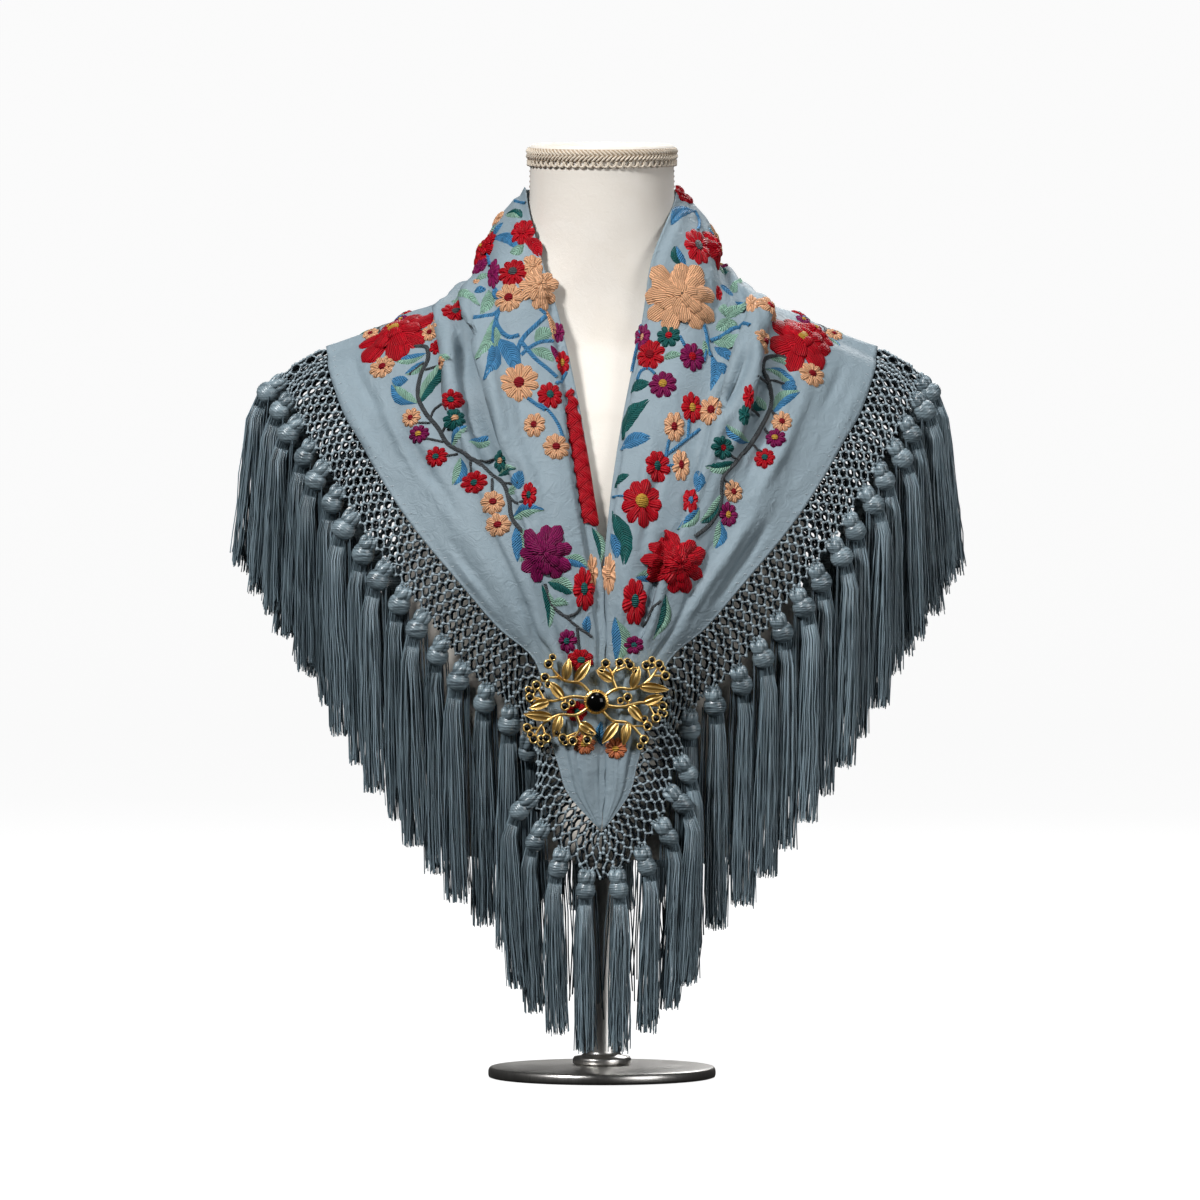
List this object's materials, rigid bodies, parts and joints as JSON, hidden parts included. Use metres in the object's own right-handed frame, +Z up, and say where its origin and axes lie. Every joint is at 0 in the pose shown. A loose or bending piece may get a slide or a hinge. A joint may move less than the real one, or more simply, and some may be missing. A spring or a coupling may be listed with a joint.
{
  "type": "flamenco shawl on dress form",
  "caption": "Embroidered triangular shawl with knotted net border and long tassels, rolled at the neck and pinned at the chest by a brooch, on a limbless dress form on a low stand.",
  "frame": {"origin": "the middle of the underside of the stand's round base, on the floor", "axes": "+Z up along the stand, -Y the front of the shawl with the brooch, +X to the right of the picture, which is the wearer's left"},
  "size_m": [0.5214, 0.287, 0.6755],
  "materials": {
    "cloth": "grey-blue silk crepe",
    "net": "knotted silk thread",
    "tassel": "lustrous silk thread",
    "linen": "cream cotton cover",
    "braid": "woven cream trimming",
    "gold": "polished gilt",
    "onyx": "polished black stone",
    "stand": "satin"
  },
  "bodies": {
    "root": {"form_torso": "linen", "form_neck_braid": "braid", "stand_base": "stand", "stand_pole": "stand", "shawl_left_tail": "cloth", "shawl_left_front": "cloth", "shawl_back": "cloth", "shawl_right_front": "cloth", "shawl_right_tail": "cloth", "net_left_tail": "net", "net_left_front": "net", "net_back": "net", "net_right_front": "net", "net_right_tail": "net", "fringe_left_tail": "tassel", "fringe_left_front": "tassel", "fringe_back": "tassel", "fringe_right_front": "tassel", "fringe_right_tail": "tassel", "brooch_frame": "gold", "brooch_stone": "onyx"}
  },
  "joints": []
}
